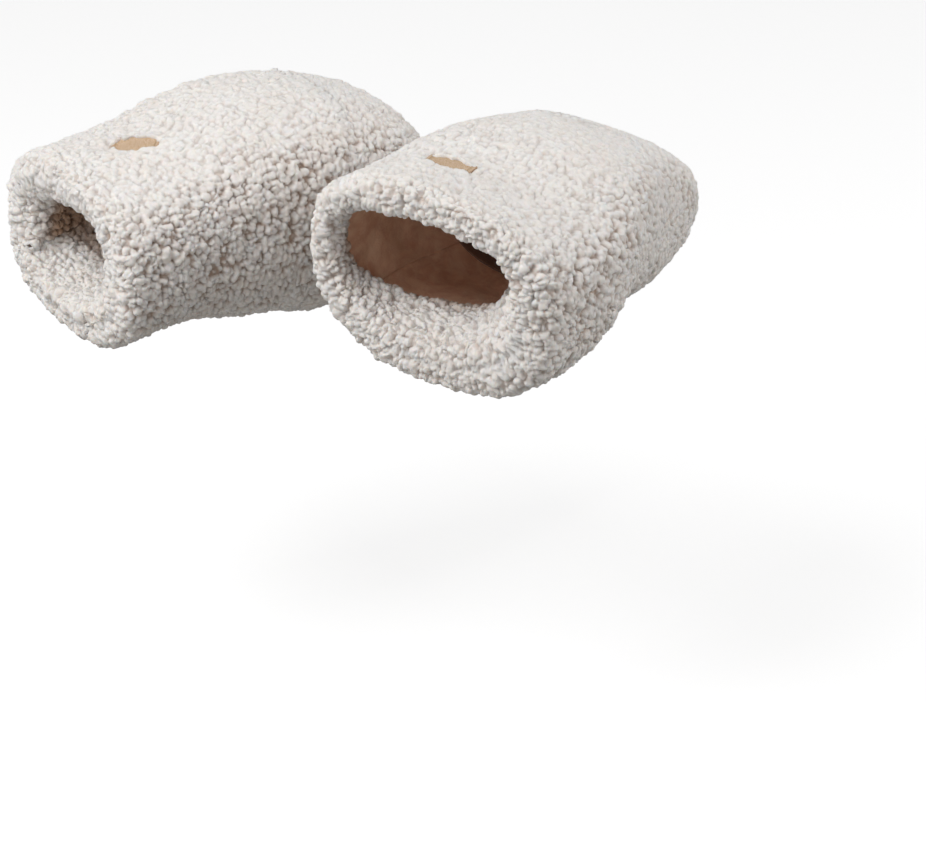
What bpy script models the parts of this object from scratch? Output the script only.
"""A pair of curly-fleece hand muffs for a stroller's handlebar, as their sewn and riveted pieces.

Metres, +Z up. +X runs along the handlebar to the walker's right and +Y is the way the stroller goes.
The origin is on the handlebar's axis, midway between the two muffs.
Each muff is a flattened sleeve with a rolled mouth towards the walker. The front of its top panel is
a flap that folds down over the far end and closes underneath with press studs, round the handlebar.
All the layers of a muff are lofts that follow one rounded outline at different depths.
"""
import math

import bmesh
import bpy
from mathutils import Euler, Matrix, Vector

# The handlebar that passes through, and the room that the side ports leave round it
BAR_RADIUS = 0.018
PORT_SLACK_ALONG = 0.012
PORT_SLACK_BELOW = 0.012
PORT_ROUNDING = 0.012

# One muff: its length, its widest half width, its deepest half height, and where the bar crosses it
MUFF_LENGTH = 0.266
HALF_WIDTH = 0.098
HALF_HEIGHT = 0.069
BAR_FROM_MOUTH = 0.139
BAR_BELOW_MIDDLE = 0.020
MOUTH_LEAN = 0.007

# The outline at stations along the muff, as shares of its length, half width and half height
STATION_SHARES = (0.0, 0.22, 0.47, 0.74, 1.0)
ROUNDNESS = (2.5, 2.6, 2.7, 2.6, 2.4)
# The two muffs are cut alike and lie differently over the bar: how wide and deep each one stands at
# each station, and how far its middle line rises or hangs there
RIGHT_DRAPE = {
    "width_shares": (0.98, 1.02, 0.93, 0.77, 0.70),
    "height_shares": (1.02, 0.965, 0.985, 0.88, 0.40),
    "rise_shares": (-0.05, -0.055, 0.025, -0.05, -0.10),
}
LEFT_DRAPE = {
    "width_shares": (0.98, 1.0, 0.95, 0.90, 0.80),
    "height_shares": (0.92, 0.905, 1.12, 1.13, 0.38),
    "rise_shares": (-0.37, -0.155, -0.01, 0.01, 0.42),
}
# The far end is rounded off over these last lengths, seen from above and from the side
END_CORNER = 0.054
END_NOSE = 0.038
CORNER_POWER = 3.0
NOSE_POWER = 2.0
LAST_RING_SHARE = 0.986

# Layers, from the outside in
FLEECE = 0.010
WADDING = 0.003
LINING = 0.0015
LAYER_GAP = 0.0006
SEAM_GAP = 0.0004
LIP_GAP = 0.0014
FACING_END_GAP = 0.0016
WALL = FLEECE + LAYER_GAP + WADDING + LAYER_GAP + LINING
FACING_BACK = FLEECE + LAYER_GAP + WADDING + LAYER_GAP
RIM = FACING_BACK + FLEECE
LINING_BACK = FACING_BACK

# The padded rim: how much thicker it is than its least, and how far it swells inward behind its front,
# at even steps round from the +X side up, and the distances from the mouth where both come and go
RIM_EXTRA = (0.014, 0.009, 0.003, 0.001, 0.0, 0.003, 0.007, 0.012)
RIM_FULL_UNTIL = 0.016
RIM_GONE_AT = 0.064
SWELL = (0.002, 0.003, 0.005, 0.002, 0.0, 0.007, 0.018, 0.011)
SWELL_FROM = 0.010
SWELL_FULL_AT = 0.050
SWELL_FULL_UNTIL = 0.060
SWELL_GONE_AT = 0.108

# The flap: its fold on top, its edges beside the ports, and its lip underneath
HINGE_Y = 0.047
PORT_FRONT_Y = BAR_RADIUS + PORT_SLACK_ALONG
PORT_BACK_Y = -PORT_FRONT_Y
LIP_Y = 0.012
HINGE_FULL_SHARE = 0.6
LIP_FULL_SHARE = 0.7

# The plain closing tab under the flap's lip
TAB_THICKNESS = 0.002
TAB_END_Y = 0.060
TAB_SPACE = 0.005
TAB_STEP_Y = 0.010

# Rows of the lofts, as shares of the way from the mouth to the flap's edge, and along the flap
BODY_ROW_SHARES = (0.03, 0.08, 0.17, 0.27, 0.42, 0.57, 0.61, 0.65, 0.78, 0.90, 1.0)
FACING_SHARE = 0.27
RIM_ROUND_SHARES = (0.0, 0.010)
RIM_EDGE_SHARES = (0.55, 0.15)
TAB_ROOT_SHARE = 0.90
TAB_RUN_SHARES = (0.0, 0.33, 0.67, 1.0)
FLAP_FAR_ROW_SHARES = (0.22, 0.46, 0.69, 0.86, 1.0)
COLUMNS = 20

# Press studs
STUD_Y = 0.037
STUD_ANGLES = (-108.0, -90.0, -72.0)
STUD_SEAT_GAP = 0.0010
STUD_ROW_SPACING = 0.0088
STUD_ROW_SETBACK = 0.0009
CAP_RADIUS = 0.0070
CAP_THICKNESS = 0.0016
CAP_DEPTH = 0.0040
CAP_RECESS_GAP = 0.0006
SHANK_RADIUS = 0.0020
SHANK_GAP = 0.0004
SOCKET_RADIUS = 0.0055
SOCKET_THICKNESS = 0.0022
SOCKET_BORE = 0.0028
STUD_FLANGE_RADIUS = 0.0050
STUD_FLANGE_THICKNESS = 0.0006
STUD_BALL_RADIUS = 0.0024
STUD_BALL_GAP = 0.0003
BACK_RADIUS = 0.0050
BACK_THICKNESS = 0.0009
TURN_STEPS = 10

# The leather label, sunk in the pile near the mouth
LABEL_LENGTH = 0.038
LABEL_WIDTH = 0.016
LABEL_THICKNESS = 0.0014
LABEL_DEPTH = 0.0006
LABEL_FROM_MOUTH = 0.056
RIGHT_LABEL_SHIFT = -0.026
LEFT_LABEL_SHIFT = 0.008
RIGHT_LABEL_TURN = 0.0
LEFT_LABEL_TURN = 38.0
LABEL_GAP = 0.0005
LABEL_EDGE = 0.0004
STITCH_RADIUS = 0.00045
STITCH_LENGTH = 0.0095
STITCH_INSET = 0.0030
CUT_OVERRUN = 0.020

# Where each muff sits: its bar centre, and its turns about X, Y and Z
RIGHT_PLACE = (0.114, 0.028, 0.005)
RIGHT_TURN = (-0.6, 6.5, 0.4)
LEFT_PLACE = (-0.108, -0.028, -0.006)
LEFT_TURN = (-4.3, -4.0, -23.7)

# Step for measuring slopes on the outline
SLOPE_SHARE = 0.002
SLOPE_ANGLE = 0.5

FINISHES = {
    "fleece": ((0.82, 0.79, 0.74, 1.0), 0.95, 0.0),
    "wadding": ((0.86, 0.86, 0.84, 1.0), 0.95, 0.0),
    "velvet": ((0.36, 0.25, 0.18, 1.0), 0.80, 0.0),
    "tab_cloth": ((0.21, 0.12, 0.08, 1.0), 0.85, 0.0),
    "label_leather": ((0.52, 0.36, 0.21, 1.0), 0.55, 0.0),
    "thread": ((0.62, 0.50, 0.36, 1.0), 0.70, 0.0),
    "stud_metal": ((0.62, 0.58, 0.52, 1.0), 0.30, 1.0),
}


def clear_scene():
    for item in list(bpy.data.objects):
        bpy.data.objects.remove(item, do_unlink=True)


def new_collection(name):
    collection = bpy.data.collections.new(name)
    bpy.context.scene.collection.children.link(collection)
    return collection


def finish(name, node):
    """A material of its own for each node, in the finish that the node is made of."""
    colour, roughness, metallic = FINISHES[name]
    material = bpy.data.materials.new(node + "_" + name)
    material.use_nodes = True
    shader = material.node_tree.nodes["Principled BSDF"]
    shader.inputs["Base Color"].default_value = colour
    shader.inputs["Roughness"].default_value = roughness
    shader.inputs["Metallic"].default_value = metallic
    material.diffuse_color = colour
    return material


def curve_through(share, values):
    """A smooth line through the values at the outline's stations."""
    stations = STATION_SHARES
    last = len(stations) - 1
    slopes = []
    for i in range(last + 1):
        low, high = max(i - 1, 0), min(i + 1, last)
        slopes.append((values[high] - values[low]) / (stations[high] - stations[low]))
    share = min(max(share, stations[0]), stations[last])
    i = max(k for k in range(last) if stations[k] <= share)
    span = stations[i + 1] - stations[i]
    t = (share - stations[i]) / span
    return ((1 + 2 * t) * (1 - t) ** 2 * values[i] + t * (1 - t) ** 2 * span * slopes[i]
            + t * t * (3 - 2 * t) * values[i + 1] + t * t * (t - 1) * span * slopes[i + 1])


def rounded_off(share, length, power):
    """How much of the full size is left where the far end is rounded off over a length."""
    u = 1 - (1 - share) * MUFF_LENGTH / length
    if u <= 0:
        return 1.0
    return max(1 - u ** power, 0.0) ** (1 / power)


def smooth(t):
    t = min(max(t, 0.0), 1.0)
    return t * t * (3 - 2 * t)


def round_curve(angle, values):
    """A smooth closed curve through values at even steps round a circle."""
    total = 0
    count = len(values)
    for wave in range(count // 2 + 1):
        weight = 1 if 0 < 2 * wave < count else 0.5
        for step, value in enumerate(values):
            turn = math.radians(angle) - 2 * math.pi * step / count
            total += weight * value * math.cos(wave * turn) * 2 / count
    return total


def signed_power(value, power):
    return math.copysign(abs(value) ** power, value)


class Muff:
    """One muff: where it sits, and the rounded outline that all its layers follow."""

    def __init__(self, side, place, turn, drape):
        self.side = side
        self.drape = drape
        self.frame = bpy.data.objects.new(side + "_muff_frame", None)
        self.frame.location = place
        self.frame.rotation_euler = Euler([math.radians(angle) for angle in turn], "XYZ")
        parts.objects.link(self.frame)
        self.hinge_point = Vector((0, HINGE_Y, self.skin(self.share_at(HINGE_Y), 90).z))
        self.hinge = bpy.data.objects.new(side + "_flap_hinge", None)
        self.hinge.parent = self.frame
        self.hinge.location = self.hinge_point
        parts.objects.link(self.hinge)
        self.port_angle = self.find_port_angle()

    def share_at(self, y):
        return (y + BAR_FROM_MOUTH) / MUFF_LENGTH

    def ring(self, share):
        width = HALF_WIDTH * curve_through(share, self.drape["width_shares"])
        height = HALF_HEIGHT * curve_through(share, self.drape["height_shares"])
        middle = BAR_BELOW_MIDDLE + HALF_HEIGHT * curve_through(share, self.drape["rise_shares"])
        width *= rounded_off(share, END_CORNER, CORNER_POWER)
        height *= rounded_off(share, END_NOSE, NOSE_POWER)
        return width, height, middle, curve_through(share, ROUNDNESS)

    def skin(self, share, angle):
        """A point on the outside: share runs from mouth to far end, and angle from +X up and round."""
        width, height, middle, power = self.ring(share)
        across = signed_power(math.cos(math.radians(angle)), 2 / power)
        up = signed_power(math.sin(math.radians(angle)), 2 / power)
        lean = MOUTH_LEAN * up * max(1 - share / STATION_SHARES[2], 0)
        return Vector((width * across, share * MUFF_LENGTH - BAR_FROM_MOUTH - lean, middle + height * up))

    def inward(self, share, angle):
        ahead = self.skin(min(share + SLOPE_SHARE, LAST_RING_SHARE), angle)
        behind = self.skin(share - SLOPE_SHARE, angle)
        round_on = self.skin(share, angle + SLOPE_ANGLE)
        round_back = self.skin(share, angle - SLOPE_ANGLE)
        return (round_on - round_back).cross(ahead - behind).normalized()

    def point(self, share, angle, depth):
        return self.skin(share, angle) + self.inward(share, angle) * depth

    def padding(self, share, angle):
        """How much deeper the turned-in pile reaches than its least."""
        way = share * MUFF_LENGTH
        rim = 1 - smooth((way - RIM_FULL_UNTIL) / (RIM_GONE_AT - RIM_FULL_UNTIL))
        swell = smooth((way - SWELL_FROM) / (SWELL_FULL_AT - SWELL_FROM))
        swell -= smooth((way - SWELL_FULL_UNTIL) / (SWELL_GONE_AT - SWELL_FULL_UNTIL))
        return round_curve(angle, RIM_EXTRA) * rim + round_curve(angle, SWELL) * swell

    def pole(self, depth):
        end = self.skin(1.0, 90)
        return Vector((0, end.y - depth, end.z))

    def find_port_angle(self):
        """The angle below the side seam at which the port leaves its slack under the bar."""
        width, height, middle, power = self.ring(self.share_at(0))
        reach = (middle + BAR_RADIUS + PORT_SLACK_BELOW) / height
        return math.degrees(math.asin(min(reach, 1.0) ** (power / 2)))

    def flap_edge(self, angle):
        """Where the flap begins: on the fold on top, beside the ports, and at the lip underneath."""
        up = math.sin(math.radians(angle))
        if up > 0:
            return PORT_FRONT_Y + (HINGE_Y - PORT_FRONT_Y) * smooth(up / HINGE_FULL_SHARE)
        return PORT_FRONT_Y + (LIP_Y - PORT_FRONT_Y) * smooth(-up / LIP_FULL_SHARE)

    def body_share(self, row, angle):
        lip = smooth(-math.sin(math.radians(angle)) / LIP_FULL_SHARE)
        return row * self.share_at(self.flap_edge(angle) - SEAM_GAP - (LIP_GAP - SEAM_GAP) * lip)

    def flap_share(self, row, angle):
        edge = self.share_at(self.flap_edge(angle))
        return edge + row * (LAST_RING_SHARE - edge)

    def top_angles(self, row):
        """Columns over the top, from one side seam to the other."""
        return [360 * i / COLUMNS for i in range(COLUMNS // 2 + 1)]

    def under_angles(self, row):
        """Columns underneath, which stop short of the side seams where the ports are."""
        y = self.share_at(PORT_FRONT_Y) * row * MUFF_LENGTH - BAR_FROM_MOUTH
        half = 90 - smooth((y - PORT_BACK_Y) / PORT_ROUNDING + 1) * self.port_angle
        return [-90 - half + 2 * half * i / (COLUMNS // 2) for i in range(COLUMNS // 2 + 1)]

    def all_angles(self, row):
        return [360 * i / COLUMNS for i in range(COLUMNS)]


def add_node(name, mesh, parent, material):
    mesh.materials.append(material)
    mesh.shade_smooth()
    mesh.set_sharp_from_angle(angle=math.radians(40))
    node = bpy.data.objects.new(name, mesh)
    node.parent = parent
    parts.objects.link(node)
    return node


def loft(name, outer, inner, wraps, poles=None, origin=Vector((0, 0, 0))):
    """A closed layer between two nets of points, each a list of rows with the same columns.

    It wraps all the way round, or has two long edges, and it may end in a pair of poles."""
    shape = bmesh.new()
    nets = []
    for net in (outer, inner):
        nets.append([[shape.verts.new(place - origin) for place in row] for row in net])
    count = len(outer[0])
    steps = count if wraps else count - 1
    last = len(outer) - 1
    for net, flip in ((nets[0], False), (nets[1], True)):
        for low, high in zip(net, net[1:]):
            for i in range(steps):
                k = (i + 1) % count
                halves = ((low[i], low[k], high[k]), (low[i], high[k], high[i]))
                if i < steps // 2:
                    halves = ((low[i], low[k], high[i]), (low[k], high[k], high[i]))
                for corners in halves:
                    shape.faces.new(corners[::-1] if flip else corners)
    for row, flip in ((0, True), (last, False)):
        if row == last and poles:
            continue
        out_row, in_row = nets[0][row], nets[1][row]
        for i in range(steps):
            k = (i + 1) % count
            for corners in ((out_row[i], out_row[k], in_row[k]), (out_row[i], in_row[k], in_row[i])):
                shape.faces.new(corners[::-1] if flip else corners)
    if not wraps:
        for column, flip in ((0, False), (count - 1, True)):
            for row in range(last):
                out_low, out_high = nets[0][row][column], nets[0][row + 1][column]
                in_low, in_high = nets[1][row][column], nets[1][row + 1][column]
                for corners in ((out_low, out_high, in_high), (out_low, in_high, in_low)):
                    shape.faces.new(corners[::-1] if flip else corners)
    if poles:
        for net, pole, flip in ((nets[0], poles[0], False), (nets[1], poles[1], True)):
            tip = shape.verts.new(pole - origin)
            for i in range(steps):
                corners = (net[last][i], net[last][(i + 1) % count], tip)
                shape.faces.new(corners[::-1] if flip else corners)
    bmesh.ops.recalc_face_normals(shape, faces=shape.faces)
    mesh = bpy.data.meshes.new(name)
    shape.to_mesh(mesh)
    shape.free()
    return mesh


def body_net(muff, section, angles, lift=0):
    """Rows of points for (row share, depth, padded or not) along the body, lifted a little at the seams."""
    net = []
    for row, depth, padded in section:
        places = [(muff.body_share(row, angle), angle) for angle in angles(row)]
        extra = [muff.padding(*place) if padded else 0 for place in places]
        net.append([muff.point(*place, depth + more) for place, more in zip(places, extra)])
    for row in net:
        row[0].z += lift
        row[-1].z += lift
    return net


def flap_rows():
    """Rows close together at the press studs, just off their centres, and then on to the far end."""
    reach = LAST_RING_SHARE * MUFF_LENGTH - BAR_FROM_MOUTH - LIP_Y
    middle = (STUD_Y - STUD_ROW_SETBACK - LIP_Y) / reach
    spacing = STUD_ROW_SPACING / reach
    near = [middle - spacing, middle, middle + spacing]
    return [0] + near + [near[-1] + (1 - near[-1]) * share for share in FLAP_FAR_ROW_SHARES]


def flap_net(muff, depth):
    return [[muff.point(muff.flap_share(row, angle), angle, depth) for angle in muff.all_angles(row)]
            for row in flap_rows()]


def body_layer(muff, name, kind, angles, section_out, section_in, lift=0, wraps=False):
    node = muff.side + "_" + name
    outer = body_net(muff, section_out, angles, lift)
    inner = body_net(muff, section_in, angles, lift)
    return add_node(node, loft(node, outer, inner, wraps), muff.frame, finish(kind, node))


def flap_layer(muff, name, kind, depth, thickness):
    node = muff.side + "_" + name
    outer, inner = flap_net(muff, depth), flap_net(muff, depth + thickness)
    poles = (muff.pole(depth), muff.pole(depth + thickness))
    mesh = loft(node, outer, inner, True, poles, muff.hinge_point)
    return add_node(node, mesh, muff.hinge, finish(kind, node))


def outer_panels(muff):
    """The curly fleece outside, rounded over at the mouth."""
    edge = [(row, FLEECE * share, False) for row, share in zip(RIM_ROUND_SHARES, RIM_EDGE_SHARES)]
    outside = edge + [(row, 0, False) for row in BODY_ROW_SHARES]
    inside = [(row, FLEECE, False) for row in RIM_ROUND_SHARES + BODY_ROW_SHARES]
    top = body_layer(muff, "outer_top", "fleece", muff.top_angles, outside, inside, SEAM_GAP / 2)
    body_layer(muff, "outer_under", "fleece", muff.under_angles, outside, inside, -SEAM_GAP / 2)
    return top


def mouth_facing(muff):
    """Fleece turned in at the mouth: it closes the front of the rim and lines the first stretch."""
    rows = [row for row in BODY_ROW_SHARES if row <= FACING_SHARE]
    front = rows[0] - SEAM_GAP / MUFF_LENGTH
    seam = FLEECE + LAYER_GAP
    outside = [(0, seam, False), (RIM_ROUND_SHARES[1], seam, False), (front, seam, False)]
    outside += [(row, FACING_BACK, False) for row in [front] + rows[1:]] + [(rows[-1], LINING_BACK, True)]
    turned = [(row, RIM - FLEECE * share, True) for row, share in zip(RIM_ROUND_SHARES, RIM_EDGE_SHARES)]
    nearly = rows[-1] - RIM_ROUND_SHARES[1]
    inside = turned + [(row, RIM, True)
                       for row in (rows[0], rows[0] + RIM_ROUND_SHARES[1], *rows[1:-1], nearly, rows[-1])]
    body_layer(muff, "mouth_facing", "fleece", muff.all_angles, outside, inside, wraps=True)


def inner_layers(muff):
    """Wadding from the rim to the flap, and velvet from the facing to the flap."""
    gap = FACING_END_GAP / MUFF_LENGTH
    front, back = FLEECE + LAYER_GAP, FLEECE + LAYER_GAP + WADDING
    flat = [row for row in BODY_ROW_SHARES if row <= FACING_SHARE]
    swollen = [row for row in BODY_ROW_SHARES if row > FACING_SHARE]
    start = [FACING_SHARE + gap] + swollen
    step = [FACING_SHARE + 2 * gap] + swollen
    halves = (("top", muff.top_angles, SEAM_GAP / 2), ("under", muff.under_angles, -SEAM_GAP / 2))
    for half, angles, lift in halves:
        body_layer(muff, "wadding_" + half, "wadding", angles, [(row, front, False) for row in flat + step],
                   [(row, back, False) for row in flat] + [(row, back, True) for row in step], lift)
        body_layer(muff, "lining_" + half, "velvet", angles,
                   [(row, LINING_BACK, True) for row in start], [(row, WALL, True) for row in start], lift)


def closing_tab(muff):
    """The plain tab sewn inside the under panel's front edge, which the flap's lip closes over."""
    node = muff.side + "_closing_tab"
    angles = muff.under_angles(1.0)
    start = LIP_Y + TAB_STEP_Y
    runs = [muff.share_at(start + (TAB_END_Y - start) * share) for share in TAB_RUN_SHARES]
    nets = []
    for extra in (0, TAB_THICKNESS):
        root = WALL + LAYER_GAP + extra
        free = WALL + TAB_SPACE + extra
        net = [[muff.point(muff.body_share(row, angle), angle, root) for angle in angles]
               for row in (TAB_ROOT_SHARE, 1.0)]
        net += [[muff.point(share, angle, free) for angle in angles] for share in runs]
        nets.append(net)
    return add_node(node, loft(node, nets[0], nets[1], False), muff.frame, finish("tab_cloth", node))


def turned(name, profile, steps=TURN_STEPS):
    """A turned piece from a profile of (radius, height) points, run top to bottom."""
    shape = bmesh.new()
    points = [shape.verts.new((radius, 0, height)) for radius, height in profile]
    for low, high in zip(points, points[1:]):
        shape.edges.new((low, high))
    mesh = bpy.data.meshes.new(name)
    shape.to_mesh(mesh)
    shape.free()
    node = bpy.data.objects.new(name, mesh)
    screw = node.modifiers.new("turn", "SCREW")
    screw.steps = steps
    screw.render_steps = steps
    screw.use_merge_vertices = True
    screw.merge_threshold = 0.00001
    return node


def seat(node, muff, parent, share, angle, depth, twist=0):
    """Puts a turned piece on the outline, its top facing out, under the muff or its flap."""
    out = -muff.inward(share, angle)
    spin = Vector((0, 0, 1)).rotation_difference(out)
    place = muff.point(share, angle, depth)
    if parent is muff.hinge:
        place = place - muff.hinge_point
    node.parent = parent
    node.matrix_local = Matrix.Translation(place) @ spin.to_matrix().to_4x4() @ Matrix.Rotation(twist, 4, "Z")


def add_turned(name, profile, kind, muff, parent, share, angle, depth):
    node = turned(name, profile)
    node.data.materials.append(finish(kind, name))
    parts.objects.link(node)
    seat(node, muff, parent, share, angle, depth)
    return node


def add_cutter(name, radius, length, muff, parent, share, angle, depth, twist=0):
    """A round cutter that runs inward from a depth."""
    cutter = turned(name, [(0, 0), (radius, 0), (radius, -length), (0, -length)])
    cutter.hide_render = True
    cutter.display_type = "WIRE"
    cutters.objects.link(cutter)
    seat(cutter, muff, parent, share, angle, depth, twist)
    return cutter


def cut(node, cutter):
    hole = node.modifiers.new(cutter.name, "BOOLEAN")
    hole.operation = "DIFFERENCE"
    hole.solver = "EXACT"
    hole.object = cutter


def press_studs(muff, flap, tab):
    """Caps and sockets through the flap's lip, and studs with their backs through the tab."""
    share = muff.share_at(STUD_Y)
    socket_depth = WALL + STUD_SEAT_GAP
    socket_end = socket_depth + SOCKET_THICKNESS
    tab_depth = WALL + TAB_SPACE
    for number, angle in enumerate(STUD_ANGLES, 1):
        label = "_" + str(number)
        spot = (share, angle)
        side = muff.side + "_"
        shank = socket_depth - CAP_DEPTH - STUD_SEAT_GAP
        head = CAP_THICKNESS / 2
        cap = [(0, 0), (CAP_RADIUS / 2, 0), (CAP_RADIUS, -head), (CAP_RADIUS, -CAP_THICKNESS),
               (SHANK_RADIUS, -CAP_THICKNESS), (SHANK_RADIUS, -shank), (0, -shank)]
        add_turned(side + "stud_cap" + label, cap, "stud_metal", muff, muff.hinge, *spot, CAP_DEPTH)
        lip = SOCKET_THICKNESS / 3
        socket = [(0, 0), (SOCKET_RADIUS, 0), (SOCKET_RADIUS, -SOCKET_THICKNESS),
                  (SOCKET_BORE, -SOCKET_THICKNESS), (SOCKET_BORE, -lip), (0, -lip)]
        add_turned(side + "stud_socket" + label, socket, "stud_metal", muff, muff.hinge, *spot, socket_depth)
        ball_top = socket_end + STUD_BALL_GAP
        flange = tab_depth - STUD_SEAT_GAP - STUD_FLANGE_THICKNESS - ball_top
        through = tab_depth + TAB_THICKNESS + STUD_SEAT_GAP - ball_top
        stud = [(0, 0), (STUD_BALL_RADIUS / 2, 0), (STUD_BALL_RADIUS, -flange / 3),
                (STUD_BALL_RADIUS, -flange * 2 / 3), (SHANK_RADIUS, -flange),
                (STUD_FLANGE_RADIUS, -flange), (STUD_FLANGE_RADIUS, -flange - STUD_FLANGE_THICKNESS),
                (SHANK_RADIUS, -flange - STUD_FLANGE_THICKNESS), (SHANK_RADIUS, -through), (0, -through)]
        add_turned(side + "stud_post" + label, stud, "stud_metal", muff, muff.frame, *spot, ball_top)
        back_depth = ball_top + through + LAYER_GAP
        back = [(0, 0), (BACK_RADIUS, 0), (BACK_RADIUS, -BACK_THICKNESS / 2),
                (BACK_RADIUS / 2, -BACK_THICKNESS), (0, -BACK_THICKNESS)]
        add_turned(side + "stud_back" + label, back, "stud_metal", muff, muff.frame, *spot, back_depth)
        bore = SHANK_RADIUS + SHANK_GAP
        length = WALL + CUT_OVERRUN
        hole = add_cutter(side + "cap_hole" + label, bore, length, muff, muff.hinge, *spot, 0)
        for layer in flap:
            cut(layer, hole)
        recess = CAP_DEPTH + CAP_THICKNESS + STUD_SEAT_GAP + CUT_OVERRUN
        quarter_step = math.pi / TURN_STEPS / 2
        well = add_cutter(side + "cap_well" + label, CAP_RADIUS + CAP_RECESS_GAP, recess,
                          muff, muff.hinge, *spot, -CUT_OVERRUN, quarter_step)
        cut(flap[0], well)
        cut(tab, add_cutter(side + "tab_hole" + label, bore, CUT_OVERRUN, muff, muff.frame, *spot, WALL))


def label(muff, panel, shift, turn):
    """A small leather label across the top near the mouth, in a well in the pile, held at its ends."""
    side = muff.side + "_"
    share = LABEL_FROM_MOUTH / MUFF_LENGTH
    width, height, middle, power = muff.ring(share)
    angle = math.degrees(math.acos(signed_power(shift / width, power / 2)))
    out = -muff.inward(share, angle)
    spin = Vector((0, 0, 1)).rotation_difference(out).to_matrix().to_4x4()
    spin = spin @ Matrix.Rotation(math.radians(turn), 4, "Z")
    top = muff.point(share, angle, LABEL_DEPTH)

    def box(name, size, height):
        mesh = bpy.data.meshes.new(name)
        shape = bmesh.new()
        bmesh.ops.create_cube(shape, size=1, matrix=Matrix.Diagonal((*size, 1)))
        shape.to_mesh(mesh)
        shape.free()
        node = bpy.data.objects.new(name, mesh)
        node.parent = muff.frame
        node.matrix_local = Matrix.Translation(top) @ spin @ Matrix.Translation((0, 0, height))
        return node

    leather = box(side + "label", (LABEL_LENGTH, LABEL_WIDTH, LABEL_THICKNESS), -LABEL_THICKNESS / 2)
    rounding = leather.modifiers.new("edge", "BEVEL")
    rounding.width = LABEL_EDGE
    rounding.segments = 1
    leather.data.materials.append(finish("label_leather", leather.name))
    parts.objects.link(leather)
    well_floor = LABEL_THICKNESS + LABEL_GAP
    well_height = well_floor + CUT_OVERRUN
    size = (LABEL_LENGTH + 2 * LABEL_GAP, LABEL_WIDTH + 2 * LABEL_GAP, well_height)
    well = box(side + "label_well", size, well_height / 2 - well_floor)
    well.hide_render = True
    well.display_type = "WIRE"
    cutters.objects.link(well)
    cut(panel, well)
    for name, sign in (("inner", -1), ("outer", 1)):
        thread = turned(side + "label_stitch_" + name, [(0, STITCH_LENGTH / 2), (STITCH_RADIUS, STITCH_LENGTH / 2),
                        (STITCH_RADIUS, -STITCH_LENGTH / 2), (0, -STITCH_LENGTH / 2)], TURN_STEPS // 2)
        thread.data.materials.append(finish("thread", thread.name))
        parts.objects.link(thread)
        thread.parent = muff.frame
        place = Matrix.Translation((sign * (LABEL_LENGTH / 2 - STITCH_INSET), 0, STITCH_RADIUS + LAYER_GAP))
        thread.matrix_local = Matrix.Translation(top) @ spin @ place @ Matrix.Rotation(math.radians(90), 4, "X")


def build_muff(side, place, turn, drape, label_shift, label_turn):
    muff = Muff(side, place, turn, drape)
    panel = outer_panels(muff)
    mouth_facing(muff)
    inner_layers(muff)
    tab = closing_tab(muff)
    flap = [flap_layer(muff, "flap_outer", "fleece", 0, FLEECE),
            flap_layer(muff, "flap_wadding", "wadding", FLEECE + LAYER_GAP, WADDING),
            flap_layer(muff, "flap_lining", "velvet", LINING_BACK, LINING)]
    press_studs(muff, flap, tab)
    label(muff, panel, label_shift, label_turn)


clear_scene()
parts = new_collection("stroller_hand_muffs")
cutters = new_collection("cutters")
build_muff("right", RIGHT_PLACE, RIGHT_TURN, RIGHT_DRAPE, RIGHT_LABEL_SHIFT, RIGHT_LABEL_TURN)
build_muff("left", LEFT_PLACE, LEFT_TURN, LEFT_DRAPE, LEFT_LABEL_SHIFT, LEFT_LABEL_TURN)
